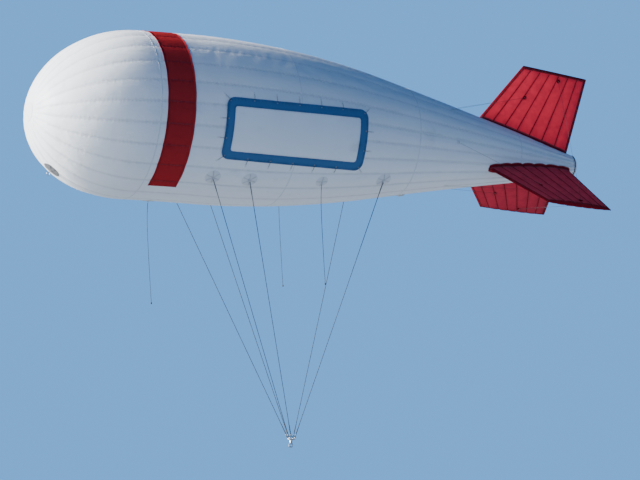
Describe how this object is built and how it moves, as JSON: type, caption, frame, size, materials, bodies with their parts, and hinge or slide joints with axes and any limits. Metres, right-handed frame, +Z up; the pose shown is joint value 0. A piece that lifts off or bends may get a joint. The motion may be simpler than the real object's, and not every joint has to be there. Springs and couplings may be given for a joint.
{
  "type": "tethered aerostat",
  "caption": "Helium-filled teardrop hull with a red band, inflated tail fins, a blank bordered banner on each flank and a bridle that gathers at a swivel.",
  "frame": {"origin": "centre of buoyancy, on the hull's axis", "axes": "+X aft along the hull's axis, the nose points along -X; port is -Y; +Z up"},
  "size_m": [13.6676, 3.811, 9.1713],
  "materials": {
    "hull_fabric": "satin coated fabric",
    "red_fabric": "satin coated fabric",
    "banner_fabric": "printed fabric, blank",
    "blue_fabric": "printed fabric",
    "patch_webbing": "woven webbing",
    "mooring_webbing": "woven webbing",
    "rope": "braided rope",
    "metal": "brushed",
    "valve_plastic": "moulded"
  },
  "bodies": {
    "aerostat": {"envelope": "hull_fabric", "tail_cap": "hull_fabric", "red_band": "red_fabric", "fin_top": "red_fabric", "fin_port": "red_fabric", "fin_starboard": "red_fabric", "banner_port": "banner_fabric", "banner_border_port": "blue_fabric", "banner_starboard": "banner_fabric", "banner_border_starboard": "blue_fabric", "patch_front_port": "patch_webbing", "bridle_front_port": "rope", "patch_middle_port": "patch_webbing", "bridle_middle_port": "rope", "patch_rear_port": "patch_webbing", "bridle_rear_port": "rope", "patch_front_starboard": "patch_webbing", "bridle_front_starboard": "rope", "patch_middle_starboard": "patch_webbing", "bridle_middle_starboard": "rope", "patch_rear_starboard": "patch_webbing", "bridle_rear_starboard": "rope", "confluence_plate": "metal", "swivel_housing": "metal", "nose_patch": "mooring_webbing", "nose_ring": "metal", "handling_patch_belly": "patch_webbing", "handling_line_belly": "rope", "handling_knot_belly": "rope", "handling_patch_port": "patch_webbing", "handling_line_port": "rope", "handling_knot_port": "rope", "handling_patch_starboard": "patch_webbing", "handling_line_starboard": "rope", "handling_knot_starboard": "rope", "relief_valve": "valve_plastic"},
    "tether_swivel": {"swivel_eye": "metal"}
  },
  "joints": [
    {"name": "swivel_turn", "type": "hinge", "parent": "aerostat", "child": "tether_swivel", "pos_m": [1.875, 0, -7.1], "axis": [0, 0, 1], "continuous": true}
  ]
}
